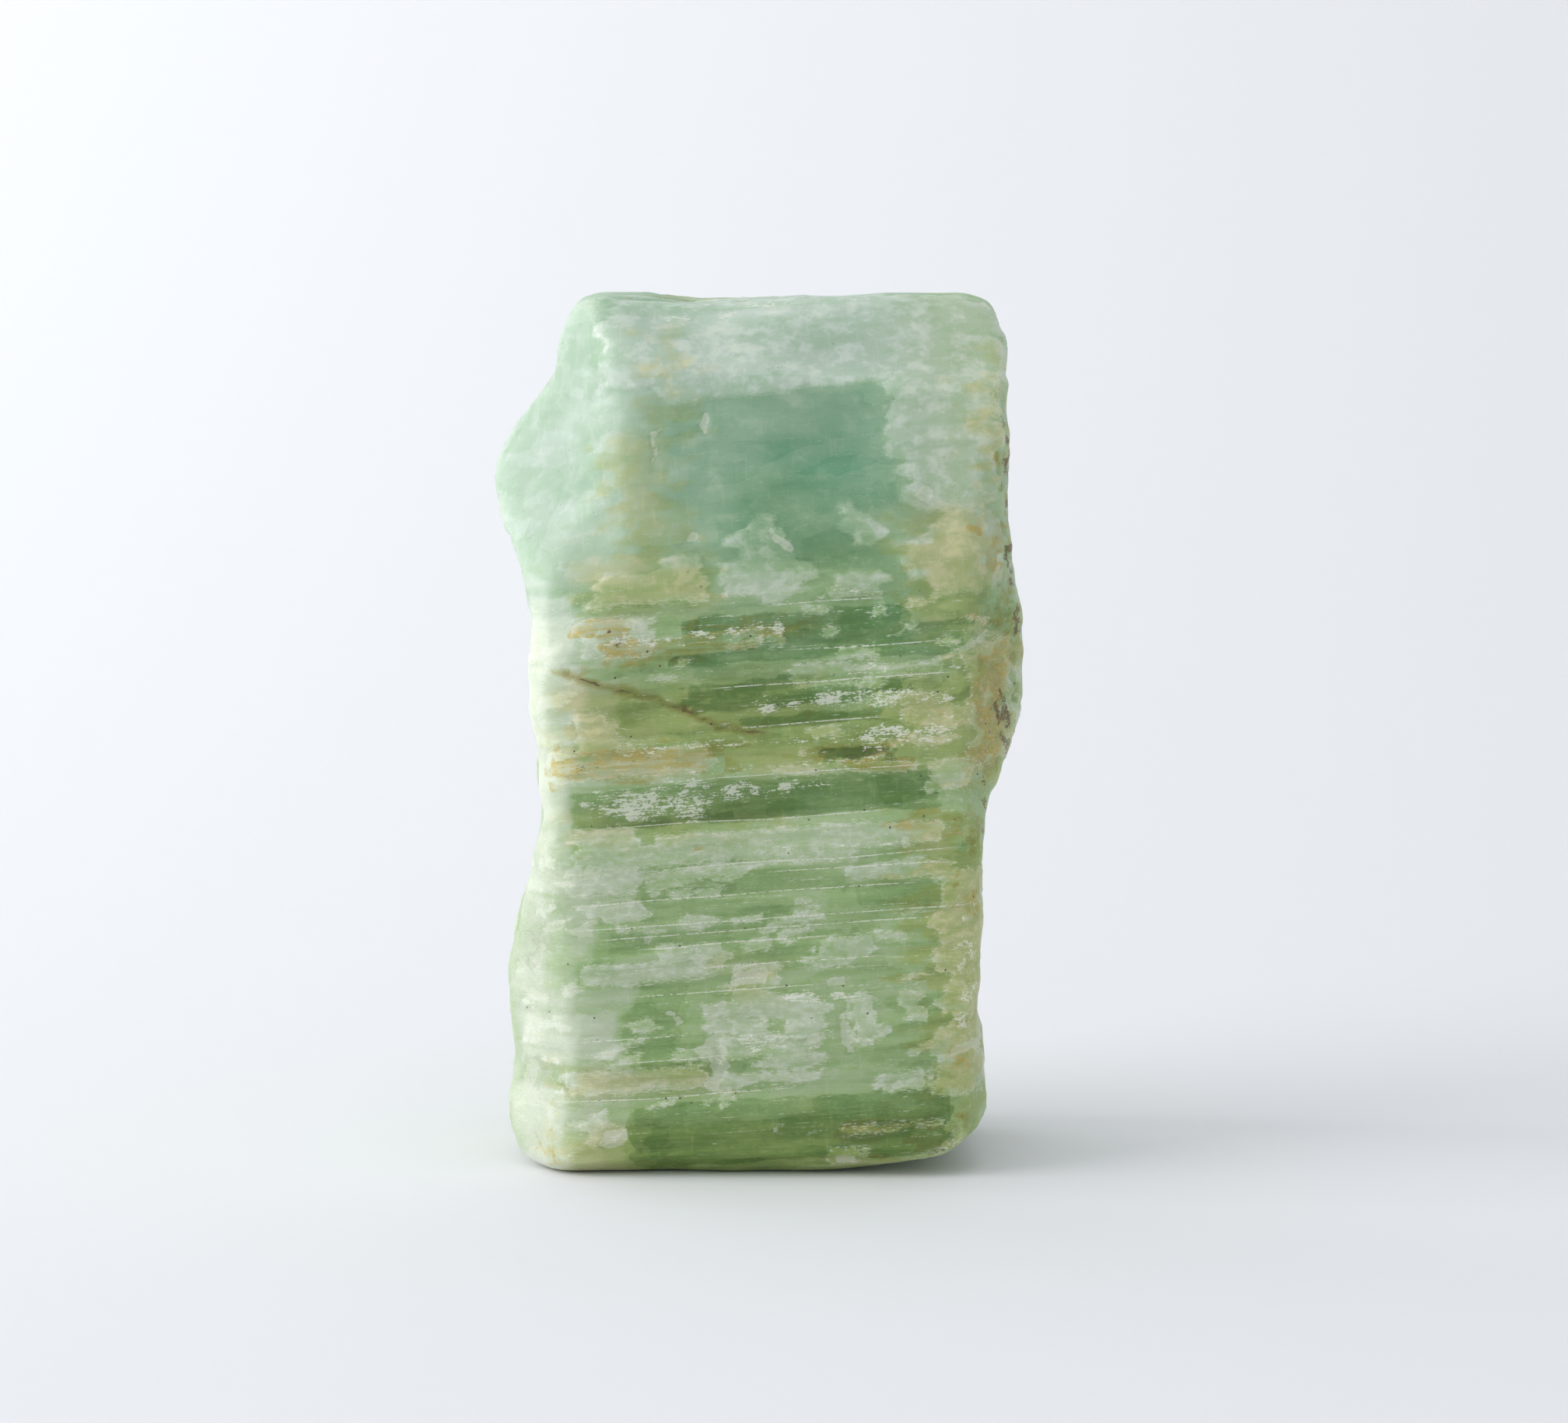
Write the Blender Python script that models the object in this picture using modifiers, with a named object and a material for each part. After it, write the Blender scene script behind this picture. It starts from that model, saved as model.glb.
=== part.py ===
"""A rough-tumbled lump of aquamarine, standing on a small flat spot.

Run it with: blender --background --python part.py
Metres, +Z up. The broad striated face looks along -Y, and the origin lies on the ground
under the middle of the stone. The crystal grew along its c-axis, which crosses the stone
from side to side and rises a little to the right.
"""

import math

import bmesh
import bpy
from mathutils import Euler, Matrix, Vector

MM = 0.001

# Driving dimensions
HEIGHT = 62.0 * MM
DEPTH = 25.0 * MM
C_AXIS_RISE = math.radians(4.0)

# The outline of the stone as seen from the front, in mm: (right of the middle, above the ground).
# It runs up the left side, over the top and down the right side. The last point closes it to the first.
OUTLINE_MM = (
    (-16.3, -0.1),
    (-17.6, 1.4),
    (-17.7, 4.6),
    (-17.4, 7.7),
    (-18.2, 12.2),
    (-17.4, 16.9),
    (-16.1, 21.3),
    (-15.4, 25.0),
    (-15.8, 30.5),
    (-15.8, 36.6),
    (-16.0, 41.1),
    (-17.6, 44.6),
    (-19.3, 47.8),
    (-18.7, 51.5),
    (-16.7, 54.2),
    (-14.9, 56.4),
    (-14.3, 59.6),
    (-12.9, 62.0),
    (-9.0, 62.3),
    (-4.3, 61.6),
    (4.5, 61.7),
    (12.6, 62.1),
    (16.6, 61.9),
    (17.8, 60.1),
    (17.8, 55.4),
    (18.2, 47.7),
    (18.7, 41.0),
    (19.2, 34.6),
    (18.7, 31.1),
    (17.3, 28.0),
    (16.4, 25.6),
    (16.3, 19.8),
    (16.0, 13.8),
    (16.4, 7.2),
    (16.5, 3.1),
    (14.5, 1.4),
    (10.0, 0.5),
    (6.4, -0.2),
    (-12.5, -0.2),
)

# Natural faces that cut right across the stone: (a point on the face in mm, the way it looks).
FACES_MM = {
    "front": ((0.0, -12.4, 20.0), (0.02, -1.0, 0.015)),
    "front_top_bevel": ((2.0, -9.6, 56.3), (0.05, -0.66, 0.75)),
    "front_foot": ((0.0, -11.9, 0.9), (0.0, -0.62, -0.78)),
    "front_left_edge": ((-13.7, -12.4, 14.0), (-0.78, -0.62, -0.03)),
    "front_right_edge": ((15.3, -11.6, 30.0), (0.74, -0.67, 0.0)),
    "back": ((0.0, 12.4, 30.0), (0.09, 1.0, 0.05)),
    "back_top": ((2.0, 9.0, 57.5), (0.12, 0.66, 0.74)),
    "back_right": ((16.6, 7.4, 34.0), (0.74, 0.66, 0.10)),
    "back_left_foot": ((-14.2, 9.6, 12.0), (-0.62, 0.74, -0.22)),
    "back_foot": ((3.0, 11.4, 5.5), (0.08, 0.86, -0.50)),
    "back_left": ((-15.4, 11.2, 47.0), (-0.50, 0.86, 0.10)),
}

# The upper front was split away, so it lies a little behind the lower front and falls back to the left.
# Each split has its main face and the face it ends on: (point in mm, the way the face looks), twice.
SPLITS_MM = {
    "window": (
        ((0.0, -12.0, 41.0), (-0.04, -0.975, 0.21)),
        ((0.0, -12.3, 40.0), (-0.07, -0.62, 0.78)),
    ),
    "left_ridge": (
        ((-7.3, -10.9, 50.0), (-0.52, -0.84, 0.17)),
        ((-8.5, -12.3, 41.0), (-0.30, -0.85, 0.42)),
    ),
    "left_shoulder": (
        ((-12.0, -7.4, 50.0), (-0.82, -0.55, 0.13)),
        ((-14.9, -12.2, 38.5), (-0.66, -0.60, 0.45)),
    ),
}

# Long low steps where slivers came off the front along the c-axis.
# Each is (middle in mm, height and depth of the sliver in mm, lean of its bed in degrees, forward at the top).
STEPS_MM = {
    "recess": ((-1.0, -12.3, 26.0), (3.2, 0.5), -9.0),
    "below_recess": ((3.0, -12.4, 20.6), (6.6, 0.3), 2.5),
    "low_parting": ((0.0, -12.5, 13.4), (7.0, 0.35), -3.0),
    "above_foot": ((-6.5, -12.5, 6.3), (3.0, 0.35), -5.0),
    "shoulder_line": ((2.0, -12.1, 34.6), (5.0, 0.3), 2.5),
}
STEP_LENGTH = 44.0 * MM
STEP_PLATE = 3.0 * MM

# Shallow shell-shaped chips: (centre in mm, radii in mm).
CHIPS_MM = (
    ((-18.9, -7.2, 7.6), (2.2, 2.6, 1.5)),
    ((-13.2, -14.0, 3.6), (2.2, 2.4, 1.6)),
    ((6.4, -14.6, 9.6), (6.5, 2.7, 2.6)),
    ((-1.8, -14.2, 12.6), (4.0, 2.3, 2.0)),
    ((18.8, -8.4, 26.4), (2.6, 4.6, 1.4)),
    ((12.8, -14.2, 27.5), (3.6, 2.6, 1.1)),
    ((12.4, -13.4, 49.0), (3.4, 2.8, 5.6)),
    ((17.8, 3.0, 12.0), (2.4, 5.4, 4.2)),
    ((-3.0, 15.6, 23.0), (11.5, 4.6, 6.0)),
    ((8.6, 15.2, 44.0), (6.5, 5.2, 5.4)),
    ((-19.6, 12.4, 33.5), (5.0, 7.4, 6.4)),
    ((3.0, 3.0, 63.6), (6.8, 5.4, 2.5)),
)

# Tumbling: the edges are worn round, and a skin of low relief is left.
GRAIN = 0.55 * MM
WEAR_PASSES = 7
SWELL_SIZE = 9.0 * MM
SWELL_DEPTH = 0.9 * MM
RIB_SIZE = 2.6 * MM
RIB_DEPTH = 0.55 * MM
RIB_LENGTH = 6.0
FACE_SHARE = 0.13
FOOT_DEPTH = 0.35 * MM

MERGE = 0.01 * MM
FLAT = math.radians(0.2)
OUTSIDE = 40.0 * MM


def mm(values):
    """A vector in metres from values in millimetres."""
    return Vector(values) * MM


def clear_scene():
    for old in list(bpy.data.objects):
        bpy.data.objects.remove(old)


def new_collection(name):
    collection = bpy.data.collections.new(name)
    bpy.context.scene.collection.children.link(collection)
    return collection


def aquamarine_material():
    material = bpy.data.materials.new("cloudy aquamarine")
    material.use_nodes = True
    shader = material.node_tree.nodes["Principled BSDF"]
    shader.inputs["Base Color"].default_value = (0.42, 0.60, 0.42, 1.0)
    shader.inputs["Roughness"].default_value = 0.38
    shader.inputs["Metallic"].default_value = 0.0
    shader.inputs["IOR"].default_value = 1.58
    return material


def outline_block(name):
    """The front outline on a smooth closed curve, made a slab of the stone's full depth."""
    curve = bpy.data.curves.new(name + "_outline", "CURVE")
    curve.dimensions = "2D"
    curve.fill_mode = "BOTH"
    curve.extrude = DEPTH / 2
    curve.resolution_u = 4
    spline = curve.splines.new("BEZIER")
    spline.bezier_points.add(len(OUTLINE_MM) - 1)
    for point, (across, up) in zip(spline.bezier_points, OUTLINE_MM):
        point.co = (across * MM, up * MM, 0.0)
        point.handle_left_type = "AUTO"
        point.handle_right_type = "AUTO"
    spline.use_cyclic_u = True
    guide = bpy.data.objects.new(name + "_outline", curve)
    bpy.context.scene.collection.objects.link(guide)
    guide.rotation_euler = Euler((math.radians(90.0), 0.0, 0.0))
    bpy.context.view_layer.update()
    graph = bpy.context.evaluated_depsgraph_get()
    mesh = bpy.data.meshes.new_from_object(guide.evaluated_get(graph))
    mesh.transform(guide.matrix_world)
    mesh.name = name
    bpy.data.objects.remove(guide)
    return mesh


def cut_faces(mesh):
    """Cuts the slab along each natural face and closes the cut."""
    bm = bmesh.new()
    bm.from_mesh(mesh)
    bmesh.ops.remove_doubles(bm, verts=bm.verts, dist=MERGE)
    for point, looks in FACES_MM.values():
        cut = bmesh.ops.bisect_plane(
            bm,
            geom=bm.verts[:] + bm.edges[:] + bm.faces[:],
            dist=MERGE,
            plane_co=mm(point),
            plane_no=Vector(looks).normalized(),
            clear_outer=True,
        )
        rim = [edge for edge in cut["geom_cut"] if isinstance(edge, bmesh.types.BMEdge)]
        bmesh.ops.edgeloop_fill(bm, edges=rim)
    bmesh.ops.dissolve_limit(bm, angle_limit=FLAT, verts=bm.verts, edges=bm.edges)
    bmesh.ops.recalc_face_normals(bm, faces=bm.faces[:])
    bm.to_mesh(mesh)
    bm.free()


def add_cutter(name, bm, cutters):
    mesh = bpy.data.meshes.new(name)
    bm.to_mesh(mesh)
    bm.free()
    cutter = bpy.data.objects.new(name, mesh)
    cutter.hide_render = True
    cutter.display_type = "WIRE"
    cutters.objects.link(cutter)
    return cutter


def split_cutter(name, main, end, cutters):
    """A block that lies on a split's main face and is cut off at the face the split ends on."""
    point, looks = main
    turn = Vector(looks).to_track_quat("Z", "X").to_matrix().to_4x4()
    bm = bmesh.new()
    bmesh.ops.create_cube(bm, size=2 * OUTSIDE, matrix=Matrix.Translation((0, 0, OUTSIDE)))
    bm.transform(Matrix.Translation(mm(point)) @ turn)
    end_point, end_looks = end
    cut = bmesh.ops.bisect_plane(
        bm,
        geom=bm.verts[:] + bm.edges[:] + bm.faces[:],
        dist=MERGE,
        plane_co=mm(end_point),
        plane_no=Vector(end_looks).normalized(),
        clear_inner=True,
    )
    rim = [edge for edge in cut["geom_cut"] if isinstance(edge, bmesh.types.BMEdge)]
    bmesh.ops.edgeloop_fill(bm, edges=rim)
    bmesh.ops.recalc_face_normals(bm, faces=bm.faces[:])
    return add_cutter(name, bm, cutters)


def step_cutter(name, middle, sliver, lean, cutters):
    """A long plate that takes one sliver off the front, following the c-axis."""
    height, depth = sliver
    back_on_face = Matrix.Translation((0.0, depth * MM - STEP_PLATE / 2, 0.0))
    plate = Matrix.Diagonal((STEP_LENGTH, STEP_PLATE, height * MM, 1.0))
    leaning = Matrix.Rotation(math.radians(lean), 4, "X")
    rising = Matrix.Rotation(-C_AXIS_RISE, 4, "Y")
    bm = bmesh.new()
    bmesh.ops.create_cube(bm, size=1.0)
    bm.transform(Matrix.Translation(mm(middle)) @ rising @ leaning @ back_on_face @ plate)
    return add_cutter(name, bm, cutters)


def chip_cutter(name, centre, radii, cutters):
    """A flattened ball that scoops out one chip."""
    bm = bmesh.new()
    bmesh.ops.create_icosphere(bm, subdivisions=3, radius=1.0)
    bm.transform(Matrix.Translation(mm(centre)) @ Matrix.Diagonal((*mm(radii), 1.0)))
    return add_cutter(name, bm, cutters)


def noise_texture(name, size):
    texture = bpy.data.textures.new(name, "CLOUDS")
    texture.noise_scale = size
    texture.noise_depth = 2
    return texture


def evaluated_mesh(stone):
    graph = bpy.context.evaluated_depsgraph_get()
    return bpy.data.meshes.new_from_object(stone.evaluated_get(graph))


def wear(stone, axes):
    """Rounds the edges as tumbling does and leaves a low relief, ribbed along the c-axis."""
    remesh = stone.modifiers.new("grain", "REMESH")
    remesh.mode = "VOXEL"
    remesh.voxel_size = GRAIN
    smooth = stone.modifiers.new("wear", "SMOOTH")
    smooth.factor = 0.5
    smooth.iterations = WEAR_PASSES
    swell = stone.modifiers.new("swell", "DISPLACE")
    swell.texture = noise_texture("swell", SWELL_SIZE)
    swell.texture_coords = "GLOBAL"
    swell.strength = SWELL_DEPTH
    swell.mid_level = 0.5
    ribs = stone.modifiers.new("ribs", "DISPLACE")
    ribs.texture = noise_texture("ribs", RIB_SIZE)
    ribs.texture_coords = "OBJECT"
    ribs.texture_coords_object = axes
    ribs.strength = RIB_DEPTH
    ribs.mid_level = 0.5
    thin = stone.modifiers.new("fewer_faces", "DECIMATE")
    thin.ratio = FACE_SHARE
    even = stone.modifiers.new("even_out", "SMOOTH")
    even.factor = 0.5
    even.iterations = 1


def stand_on_ground(mesh):
    """Cuts the small flat spot that the stone stands on, and centres the stone over the origin."""
    bm = bmesh.new()
    bm.from_mesh(mesh)
    lowest = min(vert.co.z for vert in bm.verts)
    bmesh.ops.bisect_plane(
        bm,
        geom=bm.verts[:] + bm.edges[:] + bm.faces[:],
        dist=MERGE,
        plane_co=(0.0, 0.0, lowest + FOOT_DEPTH),
        plane_no=(0.0, 0.0, -1.0),
        clear_outer=True,
    )
    rim = [edge for edge in bm.edges if edge.is_boundary]
    bmesh.ops.holes_fill(bm, edges=rim, sides=0)
    bmesh.ops.triangulate(bm, faces=bm.faces[:])
    bmesh.ops.recalc_face_normals(bm, faces=bm.faces[:])
    lows = [min(vert.co[i] for vert in bm.verts) for i in range(3)]
    highs = [max(vert.co[i] for vert in bm.verts) for i in range(3)]
    stretch = HEIGHT / (highs[2] - lows[2])
    middle = Vector(((lows[0] + highs[0]) / 2, (lows[1] + highs[1]) / 2, lows[2]))
    bmesh.ops.translate(bm, verts=bm.verts, vec=-middle)
    bmesh.ops.scale(bm, verts=bm.verts, vec=(stretch, stretch, stretch))
    bm.to_mesh(mesh)
    bm.free()


def build_aquamarine(name, parts, cutters):
    mesh = outline_block(name + "_block")
    cut_faces(mesh)
    stone = bpy.data.objects.new(name + "_block", mesh)
    parts.objects.link(stone)
    shapes = []
    for label, (middle, sliver, lean) in STEPS_MM.items():
        shapes.append(step_cutter("step_" + label, middle, sliver, lean, cutters))
    for label, (main, end) in SPLITS_MM.items():
        shapes.append(split_cutter("split_" + label, main, end, cutters))
    for number, (centre, radii) in enumerate(CHIPS_MM, start=1):
        shapes.append(chip_cutter(f"chip_{number:02d}", centre, radii, cutters))
    for cutter in shapes:
        cut = stone.modifiers.new(cutter.name, "BOOLEAN")
        cut.operation = "DIFFERENCE"
        cut.solver = "EXACT"
        cut.object = cutter
    axes = bpy.data.objects.new("c_axis", None)
    axes.rotation_euler = Euler((0.0, -C_AXIS_RISE, 0.0))
    axes.scale = (RIB_LENGTH, 1.0, 1.0)
    cutters.objects.link(axes)
    bpy.context.view_layer.update()
    wear(stone, axes)
    worn = evaluated_mesh(stone)
    worn.name = name
    bpy.data.objects.remove(stone)
    stand_on_ground(worn)
    worn.materials.clear()
    worn.materials.append(aquamarine_material())
    worn.shade_smooth()
    whole = bpy.data.objects.new(name, worn)
    parts.objects.link(whole)
    return whole


def main():
    clear_scene()
    parts = new_collection("rough_aquamarine")
    cutters = new_collection("cutters")
    build_aquamarine("aquamarine", parts, cutters)


main()
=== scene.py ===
"""A tumbled lump of cloudy aquamarine on a pale studio sweep.

Laid out as an add-on and run as a script. Metres, +Z up, the broad striated face towards -Y.
"""

import math
import random

import bmesh
import bpy
import numpy as np
from bpy.props import FloatProperty, FloatVectorProperty, IntProperty, PointerProperty
from mathutils import Euler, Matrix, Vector, noise
from mathutils.bvhtree import BVHTree


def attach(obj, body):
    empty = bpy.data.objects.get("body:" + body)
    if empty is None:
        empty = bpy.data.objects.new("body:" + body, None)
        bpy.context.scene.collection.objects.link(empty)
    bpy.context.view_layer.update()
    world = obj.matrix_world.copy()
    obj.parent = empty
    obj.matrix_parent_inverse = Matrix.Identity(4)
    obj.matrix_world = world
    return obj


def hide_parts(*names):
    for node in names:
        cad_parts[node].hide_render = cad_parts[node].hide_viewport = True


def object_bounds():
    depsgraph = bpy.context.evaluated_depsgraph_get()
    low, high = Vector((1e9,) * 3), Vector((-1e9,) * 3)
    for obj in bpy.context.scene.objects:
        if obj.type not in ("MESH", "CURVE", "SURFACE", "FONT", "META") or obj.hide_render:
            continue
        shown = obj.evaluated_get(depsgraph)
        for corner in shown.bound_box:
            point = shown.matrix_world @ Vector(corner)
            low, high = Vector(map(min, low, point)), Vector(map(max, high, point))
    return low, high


bl_info = {
    "name": "Tumbled Aquamarine",
    "version": (1, 0, 0),
    "blender": (4, 5, 0),
    "location": "3D View > Sidebar > Aquamarine",
    "description": "Makes a tumbled lump of cloudy aquamarine and the pale studio it stands in",
    "category": "Add Mesh",
}

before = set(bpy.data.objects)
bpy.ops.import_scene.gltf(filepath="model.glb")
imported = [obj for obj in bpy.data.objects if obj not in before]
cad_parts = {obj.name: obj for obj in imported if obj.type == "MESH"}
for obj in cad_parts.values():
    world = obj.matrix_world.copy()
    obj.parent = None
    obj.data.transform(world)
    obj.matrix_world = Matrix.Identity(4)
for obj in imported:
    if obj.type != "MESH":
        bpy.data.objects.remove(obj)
CAD_LOW, CAD_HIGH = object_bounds()

MM = 0.001
NODE = "aquamarine"
STONE = "tumbled_aquamarine"

# The crystal grew along its c-axis, which rises this much to the right across the front.
C_AXIS_RISE = math.radians(4.0)

# What lies on the front. Each row says what it is, then in mm how far right and up its
# middle is, half its length along the c-axis and half its height, and its extra lean in degrees if any.

# Clear places that show the deep green inside
DEEP_MM = (
    ("top streak of the striations", 2.6, 39.5, 7.4, 0.55),
    ("streak beside the block", 5.4, 38.1, 6.6, 0.45),
    ("streak under the block", 0.6, 36.9, 6.4, 0.4),
    ("streak over the crack", 7.0, 35.5, 5.6, 0.35),
    ("stone at the crack's end", 1.0, 34.0, 5.8, 0.7),
    ("streak under the crack", 3.8, 32.5, 5.2, 0.4),
    ("teal heart of the window", 4.0, 49.8, 3.8, 2.6),
    ("dark corner of the window", 8.6, 48.6, 1.2, 2.2),
    ("block in the striations", 5.6, 38.7, 3.8, 1.5),
    ("rest of that block", 11.4, 38.1, 3.8, 1.2),
    ("clear above the crack", 2.6, 34.4, 7.6, 0.9),
    ("dark band", -0.4, 26.8, 12.8, 1.35),
    ("stone under the heart", 3.4, 46.2, 5.0, 2.2, 8),
    ("stone in the brown patch", 6.8, 29.7, 2.8, 0.8),
    # This row makes the stone darker towards the bottom.
    ("foot", 2.2, 3.4, 11.4, 2.4),
)

# Places a little clearer and greener than the body
GREEN_MM = (
    ("wedge left of the chips", -7.6, 10.4, 2.1, 1.7, -20),
    ("tip of the wedge", -5.0, 9.3, 2.0, 0.5),
    ("dark strip under the wedge", -4.9, 7.9, 4.2, 0.7),
    ("heart of the block", 8.0, 38.6, 5.6, 1.2),
    ("darkest of the window", 4.6, 49.4, 4.4, 3.2),
    # This row makes the stone darker towards the bottom.
    ("darkest of the foot", 3.0, 2.6, 11.0, 1.9),
    ("clearest of the dark band", 4.4, 27.1, 8.6, 1.0),
    ("whole window", 1.4, 49.8, 8.4, 5.6),
    ("stone under the window", 0.6, 44.0, 9.4, 2.4),
    ("striations", 4.4, 37.4, 8.8, 3.6),
    ("stone round the crack", 3.6, 32.6, 7.8, 1.8),
    ("green left of the heart", -3.6, 49.0, 3.2, 4.0),
    ("green under the heart", 3.6, 45.4, 4.8, 2.6, 8),
    ("green at the window's foot", -3.4, 45.0, 3.4, 1.5),
    ("strip below the plates", 8.4, 41.2, 4.8, 1.1),
    ("start of the striations", -6.4, 41.0, 2.2, 0.7),
    ("left of the pale plate", -4.4, 36.6, 4.0, 0.9),
    ("clear right of the crack", 4.0, 32.9, 4.4, 0.7),
    ("green under the crack", -7.0, 33.6, 2.6, 1.0, -10),
    ("green below the first line", -2.0, 20.8, 8.6, 0.8),
    ("green above the long line", -2.6, 19.0, 5.2, 0.7),
    ("end of the long line", 10.6, 20.2, 4.0, 0.8),
    ("green under the long line", -6.0, 16.9, 4.4, 0.7),
    ("green under the milky edge", 2.6, 15.9, 3.2, 0.8),
    ("green left of the chips", -6.8, 12.6, 2.0, 1.3),
    ("gap in the milky field", 4.8, 8.0, 2.6, 0.4),
    ("green right of the field", 11.4, 12.6, 2.4, 0.7),
)

# Milky plates over the body, split off along the c-axis
VEIL_MM = (
    ("cream of the orange band", -9.0, 29.4, 5.8, 1.0),
    ("cream round the orange spot", -9.6, 38.2, 2.6, 1.3),
    ("cream under the window", -7.4, 41.6, 3.6, 1.0),
    ("cream of the right stain", 14.6, 44.2, 2.6, 2.8),
    ("cream of the right bulge", 16.4, 33.6, 1.8, 4.4),
    ("cream of the right edge", 14.8, 14.0, 1.8, 8.0),
    ("veil under the top edge", 2.0, 56.0, 9.0, 0.7, -3),
    ("top bevel", 3.0, 59.2, 14.0, 3.0),
    ("top right shoulder", 14.2, 57.2, 3.6, 1.7),
    ("face right of the window", 13.8, 51.6, 3.0, 4.6),
    ("strip beside the window", 10.0, 53.6, 1.0, 3.0),
    ("second strip beside it", 11.0, 50.0, 0.7, 2.4, 10),
    ("white corner of the window", 11.4, 48.4, 1.1, 1.4, 30),
    ("leaning plate", 0.8, 43.6, 1.9, 2.9, -30),
    ("round plate under it", -0.6, 42.3, 1.8, 1.1),
    ("square plate", 11.7, 43.6, 1.3, 1.3),
    ("soft plate in the window", 7.0, 46.0, 1.5, 1.0, 40),
    ("beige plate on the left", -5.6, 42.8, 1.2, 0.9),
    ("speckled plate", 6.8, 41.8, 1.9, 0.8),
    ("block in the striations", 4.2, 35.6, 2.3, 0.8),
    ("pale tail of that block", 9.6, 35.9, 3.2, 0.45),
    ("ledge right of the crack", 10.8, 33.8, 2.4, 0.6, 8),
    ("second ledge", 12.4, 32.8, 2.4, 0.7, 8),
    ("pale left of the crack", -11.4, 31.4, 1.3, 1.4),
    ("streaks over the dark band", 5.8, 29.0, 4.6, 0.4),
    ("ledge at the band's end", 13.4, 28.6, 1.8, 1.2),
    ("milky shelf", 0.4, 23.9, 7.6, 0.9),
    ("top of the shelf", 8.6, 24.4, 4.0, 0.7),
    ("second block of the shelf", -6.4, 22.9, 3.0, 0.7),
    ("third block of the shelf", 3.0, 22.9, 4.2, 0.5),
    ("milk under the first line", 10.0, 21.9, 3.6, 0.5),
    ("pale block on the left", -9.8, 18.9, 1.5, 0.9),
    ("block in the milky edge", -4.6, 15.8, 2.2, 0.9),
    ("block right of it", 6.2, 16.4, 1.9, 0.8),
    ("milk across the middle", -8.2, 14.6, 4.4, 0.7),
    ("bright block", -0.4, 14.3, 1.7, 0.7),
    ("milky slope", 1.4, 12.2, 3.4, 0.9, 10),
    ("block over the wedge", -2.4, 11.4, 1.6, 1.0),
    ("milky field of chips", 0.6, 9.4, 3.4, 0.8),
    ("lower block of the field", 2.6, 8.4, 2.2, 0.4),
    ("foot of the milky field", 0.8, 7.2, 3.4, 0.35),
    ("tongue into the wedge", -4.9, 8.9, 1.5, 0.35, -6),
    ("oval in the field", 3.1, 10.7, 1.5, 0.55),
    ("right part of the field", 7.4, 11.5, 0.9, 1.7),
    ("far right of the field", 10.8, 12.3, 0.8, 1.1),
    ("right end of the field", 13.4, 8.4, 1.2, 2.4),
    ("pale island on the right", 10.2, 6.9, 1.6, 0.7),
    ("beige band", -8.8, 6.9, 5.0, 0.7),
    ("wedge of the beige band", -2.0, 7.0, 1.6, 0.4),
    ("pale patch in the foot", -11.2, 3.6, 1.3, 1.0, -30),
    ("tan streak in the foot", 9.4, 3.7, 3.6, 0.2),
    ("block over the long line", -10.6, 21.8, 2.4, 1.6),
    ("block left of the shelf", -10.8, 24.0, 2.2, 0.8),
    ("fourth block of the shelf", -4.6, 21.6, 3.6, 0.4),
    ("pale corner of the foot", 6.4, 1.6, 1.4, 0.6),
)

# Chips broken off by tumbling, with a white crystalline face
CHIP_MM = (
    ("spot in the window", -3.5, 53.2, 0.4, 0.7, 20),
    ("upright nick", -7.0, 51.0, 0.2, 1.5),
    ("spot under the streak", -4.5, 45.2, 0.4, 0.3),
    ("chip at the window's corner", 11.7, 48.2, 0.7, 0.5, 30),
    ("bruise on the leaning plate", 1.5, 44.9, 0.25, 1.1, -35),
    ("fleck at the crack's end", -2.6, 32.0, 0.4, 0.14, -15),
    ("chip under the olive stain", 10.8, 23.9, 0.5, 0.4),
    ("round spot", -11.7, 21.7, 0.5, 0.5),
    ("nick in the milky edge", -4.4, 15.9, 0.3, 0.5, 20),
    ("tip of the block", 5.6, 13.9, 0.6, 0.3),
    ("jagged end of the wedge", -6.0, 11.4, 0.2, 0.7, -30),
    ("upper end of the strip", -3.6, 9.2, 0.7, 0.35, -30),
    ("lower end of the strip", -2.9, 7.6, 0.35, 1.4, 8),
    ("upright edge of the field", 6.6, 9.9, 0.25, 1.3, -12),
    ("white end of the field", 9.6, 6.6, 0.6, 0.3),
    ("chip in the foot", -10.2, 2.8, 0.75, 0.8),
    ("rim over that chip", -11.8, 4.0, 1.3, 0.15),
    ("chip at the foot's corner", 6.3, 1.3, 0.7, 0.35),
    ("speck in the foot", 1.5, 3.4, 0.2, 0.25),
    ("face of the bright block", -0.5, 14.3, 1.4, 0.55),
    ("face over the strip's end", -2.6, 9.0, 0.55, 1.5, -14),
    ("edge under the oval", 3.2, 10.1, 1.3, 0.14),
    ("left edge of the right part", 6.5, 11.6, 0.16, 1.4, -12),
    ("foot of the right part", 7.5, 10.0, 1.0, 0.16),
    ("bruise on the left rim", -16.2, 6.8, 0.4, 1.2),
    ("upper bruise on that rim", -15.6, 15.4, 0.3, 1.1),
)

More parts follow.
